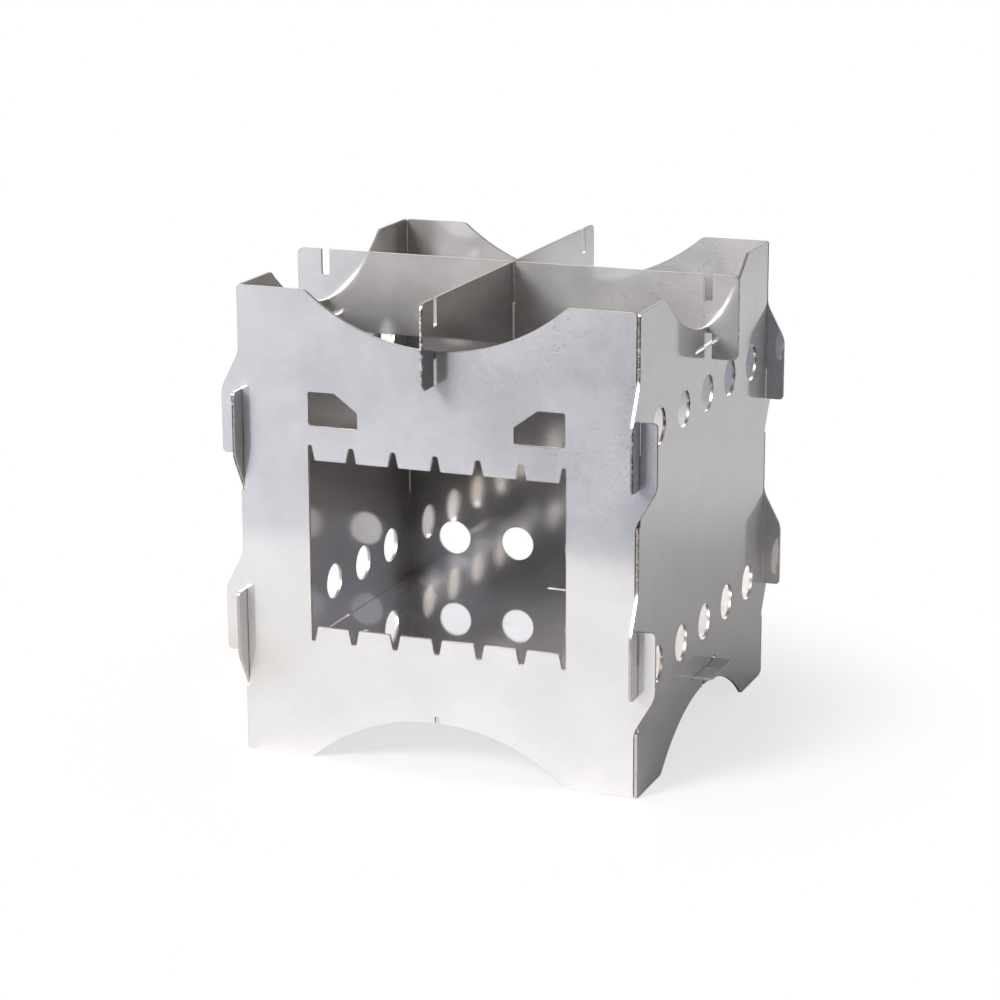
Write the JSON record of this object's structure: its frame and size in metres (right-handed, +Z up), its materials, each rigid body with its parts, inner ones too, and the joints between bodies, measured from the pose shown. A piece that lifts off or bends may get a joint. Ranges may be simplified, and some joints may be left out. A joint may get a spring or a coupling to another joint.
{
  "type": "twig stove",
  "caption": "Square flat-pack stove of slotted stainless sheets with a notched feed opening, vent holes, a floor plate and crossed lift-off pot supports.",
  "frame": {"origin": "centre of the footprint, on the ground plane that the feet stand on", "axes": "+Z up, the front panel with the feed opening faces -Y, +X to its right"},
  "size_m": [0.1496, 0.1496, 0.1492],
  "materials": {
    "panel_steel": "bright cold-rolled stainless with laser-cut edges",
    "floor_steel": "bright cold-rolled stainless with laser-cut edges",
    "support_steel": "bright cold-rolled stainless with laser-cut edges"
  },
  "bodies": {
    "stove_body": {"front_panel": "panel_steel", "right_panel": "panel_steel", "back_panel": "panel_steel", "left_panel": "panel_steel", "floor_plate": "floor_steel"},
    "lower_support": {"pot_support_lower": "support_steel"},
    "upper_support": {"pot_support_upper": "support_steel"}
  },
  "joints": [
    {"name": "lower_support_lift", "type": "slide", "parent": "stove_body", "child": "lower_support", "axis": [0, 0, 1], "range_m": [0, 0.035]},
    {"name": "upper_support_lift", "type": "slide", "parent": "lower_support", "child": "upper_support", "axis": [0, 0, 1], "range_m": [0, 0.035]}
  ]
}
